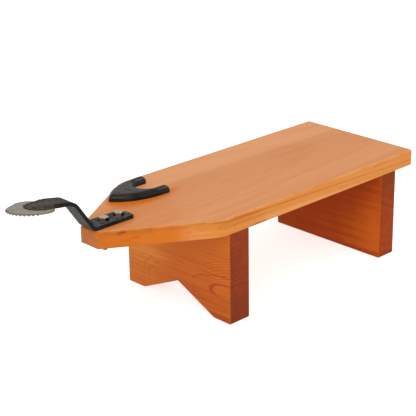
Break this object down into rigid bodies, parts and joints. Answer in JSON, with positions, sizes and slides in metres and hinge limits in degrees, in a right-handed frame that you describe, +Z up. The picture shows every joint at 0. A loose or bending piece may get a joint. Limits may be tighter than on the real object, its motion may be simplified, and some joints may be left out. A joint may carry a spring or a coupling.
{
  "type": "coconut grater",
  "caption": "Low wooden bench with a toothed steel scraping blade bolted on its narrow nose and a black crescent-shaped piece on the seat beside it.",
  "frame": {"origin": "on the floor, under the middle of the overall length and width", "axes": "+X along the bench from the blade towards the rear end, +Y across the seat towards the side with the crescent, +Z up"},
  "size_m": [0.551, 0.175, 0.1775],
  "materials": {
    "wood": "varnished orange-brown hardwood with darker streaks along the grain",
    "dark_wood": "varnished red-brown hardwood",
    "dowel_wood": "plain pale dowel",
    "forged_steel": "black scale from the forge, bright where the rim of the head is ground",
    "black_iron": "smooth black paint with a soft sheen",
    "zinc": "yellowish zinc plating",
    "black_screws": "black oxide"
  },
  "bodies": {
    "root": {"seat_plank": "wood", "front_leg": "wood", "rear_leg": "dark_wood", "scraper_blade": "forged_steel", "crescent_stop": "black_iron", "front_leg_dowel_1": "dowel_wood", "front_leg_dowel_2": "dowel_wood", "front_leg_dowel_3": "dowel_wood", "rear_leg_dowel_1": "dowel_wood", "rear_leg_dowel_2": "dowel_wood", "rear_leg_dowel_3": "dowel_wood", "blade_bolt_front": "zinc", "blade_bolt_rear": "zinc", "blade_washer_front": "zinc", "blade_washer_rear": "zinc", "blade_nut_front": "zinc", "blade_nut_rear": "zinc", "crescent_screw_front": "black_screws", "crescent_screw_rear": "black_screws"}
  },
  "joints": []
}
